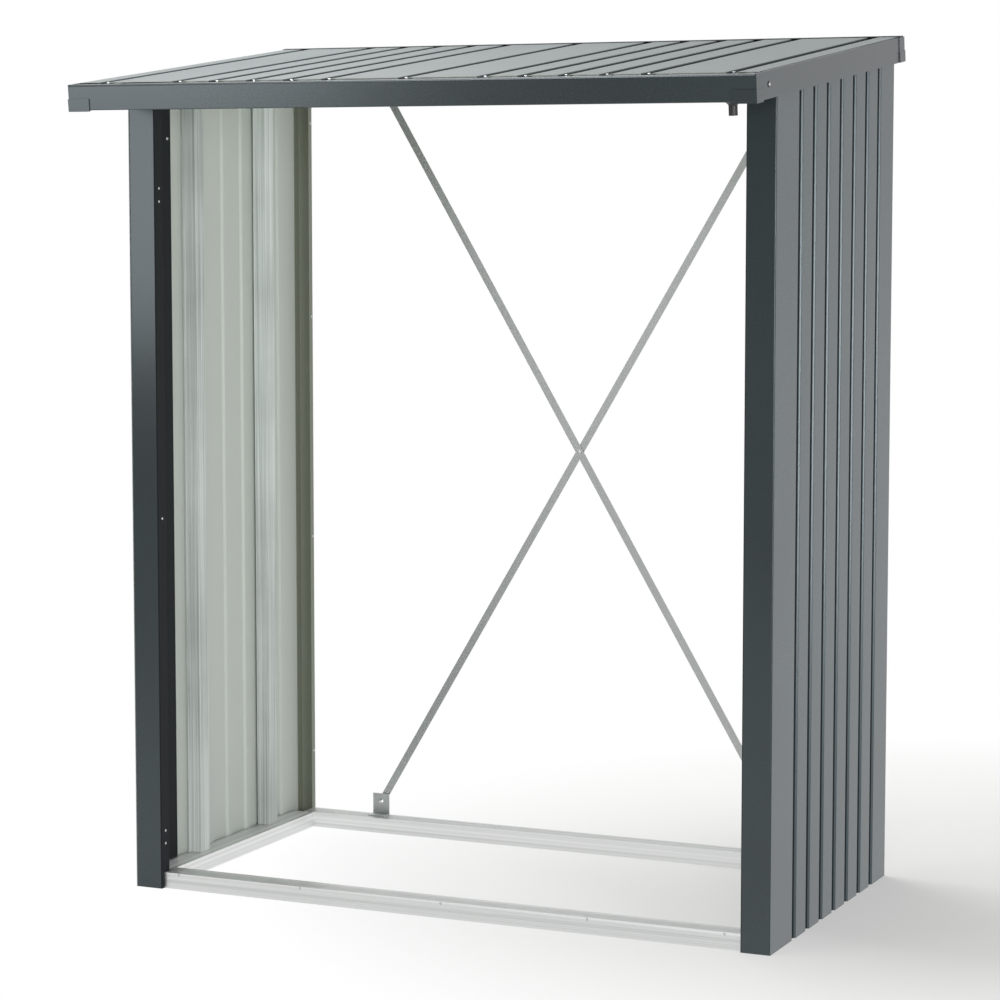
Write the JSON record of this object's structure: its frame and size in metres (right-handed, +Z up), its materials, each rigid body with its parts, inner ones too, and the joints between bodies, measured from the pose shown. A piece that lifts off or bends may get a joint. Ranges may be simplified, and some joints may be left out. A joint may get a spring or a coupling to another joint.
{
  "type": "log store",
  "caption": "Open-fronted log store: ribbed steel side walls, folded lean-to roof with gutter and spout, aluminium floor frame, crossed straps at the open back.",
  "frame": {"origin": "on the ground, under the centre of the whole store's bounding box", "axes": "+Z up, +X to the right seen from the open front, front faces -Y"},
  "size_m": [1.575, 1.005, 1.9228],
  "materials": {
    "wall_paint": "satin polyester powder coat on galvanised sheet, pale primer inside",
    "post_paint": "satin polyester powder coat",
    "tray_paint": "satin polyester powder coat",
    "roof_paint": "satin polyester powder coat",
    "mill_aluminium": "mill finish, fluted extrusion",
    "galvanised_steel": "hot-dip galvanised",
    "cap_plastic": "moulded, fine grain",
    "spout_plastic": "moulded"
  },
  "bodies": {
    "root": {"back_fascia": "tray_paint", "back_roof_beam": "galvanised_steel", "back_sill": "mill_aluminium", "back_top_rail": "galvanised_steel", "drain_spout": "spout_plastic", "falling_strap": "galvanised_steel", "front_roof_beam": "galvanised_steel", "front_sill": "mill_aluminium", "gutter": "tray_paint", "left_back_cap": "cap_plastic", "left_back_post": "post_paint", "left_base_rail": "mill_aluminium", "left_first_stiffener": "mill_aluminium", "left_front_cap": "cap_plastic", "left_front_post": "post_paint", "left_roof_panel": "roof_paint", "left_second_stiffener": "mill_aluminium", "left_side_fascia": "tray_paint", "left_strap_lug": "galvanised_steel", "left_top_rail": "galvanised_steel", "left_wall_sheet": "wall_paint", "right_back_cap": "cap_plastic", "right_back_post": "post_paint", "right_base_rail": "mill_aluminium", "right_first_stiffener": "mill_aluminium", "right_front_cap": "cap_plastic", "right_front_post": "post_paint", "right_roof_panel": "roof_paint", "right_second_stiffener": "mill_aluminium", "right_side_fascia": "tray_paint", "right_strap_lug": "galvanised_steel", "right_top_rail": "galvanised_steel", "right_wall_sheet": "wall_paint", "rising_strap": "galvanised_steel", "seam_rafter": "galvanised_steel", "strap_spacers": "galvanised_steel"}
  },
  "joints": []
}
